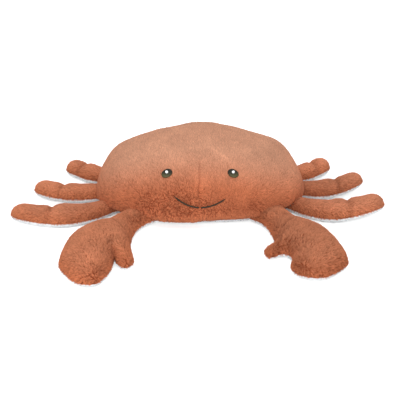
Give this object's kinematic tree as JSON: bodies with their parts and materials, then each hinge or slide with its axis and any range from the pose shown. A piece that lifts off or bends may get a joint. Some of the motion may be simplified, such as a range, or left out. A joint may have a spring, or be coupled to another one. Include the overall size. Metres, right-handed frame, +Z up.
{
  "type": "plush crab",
  "caption": "Soft toy crab that lies flat on its belly, with a domed rust pile body, a stitched smiling face, splayed legs, two claws and a white underside.",
  "frame": {"origin": "on the floor under the middle of the body, at the flat of the belly", "axes": "+X to the right as the picture shows the toy, +Y from the face towards the back, +Z up; left and right in the node names are as the picture shows them"},
  "size_m": [0.4573, 0.3169, 0.097],
  "materials": {
    "carapace": "short rust pile, nap brushed flat on the crown and clumped on the lower front",
    "belly": "short white pile",
    "body_stuffing": "loose polyester fibre",
    "left_front_leg_top": "short rust pile",
    "left_front_leg_under": "short white pile",
    "left_front_leg_stuffing": "loose polyester fibre",
    "left_middle_leg_top": "short rust pile",
    "left_middle_leg_under": "short white pile",
    "left_middle_leg_stuffing": "loose polyester fibre",
    "left_back_leg_top": "short rust pile",
    "left_back_leg_under": "short white pile",
    "left_back_leg_stuffing": "loose polyester fibre",
    "right_front_leg_top": "short rust pile",
    "right_front_leg_under": "short white pile",
    "right_front_leg_stuffing": "loose polyester fibre",
    "right_middle_leg_top": "short rust pile",
    "right_middle_leg_under": "short white pile",
    "right_middle_leg_stuffing": "loose polyester fibre",
    "right_back_leg_top": "short rust pile",
    "right_back_leg_under": "short white pile",
    "right_back_leg_stuffing": "loose polyester fibre",
    "left_claw_top": "short rust pile",
    "left_claw_under": "short white pile",
    "left_claw_stuffing": "loose polyester fibre",
    "right_claw_top": "short rust pile",
    "right_claw_under": "short white pile",
    "right_claw_stuffing": "loose polyester fibre",
    "left_eye": "dark olive satin stitch",
    "left_eye_glint": "white satin stitch",
    "smile_left": "dark olive embroidery thread",
    "right_eye": "dark olive satin stitch",
    "right_eye_glint": "white satin stitch",
    "smile_right": "dark olive embroidery thread"
  },
  "bodies": {
    "root": {"carapace": "carapace", "belly": "belly", "body_stuffing": "body_stuffing", "left_front_leg_top": "left_front_leg_top", "left_front_leg_under": "left_front_leg_under", "left_front_leg_stuffing": "left_front_leg_stuffing", "left_middle_leg_top": "left_middle_leg_top", "left_middle_leg_under": "left_middle_leg_under", "left_middle_leg_stuffing": "left_middle_leg_stuffing", "left_back_leg_top": "left_back_leg_top", "left_back_leg_under": "left_back_leg_under", "left_back_leg_stuffing": "left_back_leg_stuffing", "right_front_leg_top": "right_front_leg_top", "right_front_leg_under": "right_front_leg_under", "right_front_leg_stuffing": "right_front_leg_stuffing", "right_middle_leg_top": "right_middle_leg_top", "right_middle_leg_under": "right_middle_leg_under", "right_middle_leg_stuffing": "right_middle_leg_stuffing", "right_back_leg_top": "right_back_leg_top", "right_back_leg_under": "right_back_leg_under", "right_back_leg_stuffing": "right_back_leg_stuffing", "left_claw_top": "left_claw_top", "left_claw_under": "left_claw_under", "left_claw_stuffing": "left_claw_stuffing", "right_claw_top": "right_claw_top", "right_claw_under": "right_claw_under", "right_claw_stuffing": "right_claw_stuffing", "left_eye": "left_eye", "left_eye_glint": "left_eye_glint", "smile_left": "smile_left", "right_eye": "right_eye", "right_eye_glint": "right_eye_glint", "smile_right": "smile_right"}
  },
  "joints": []
}
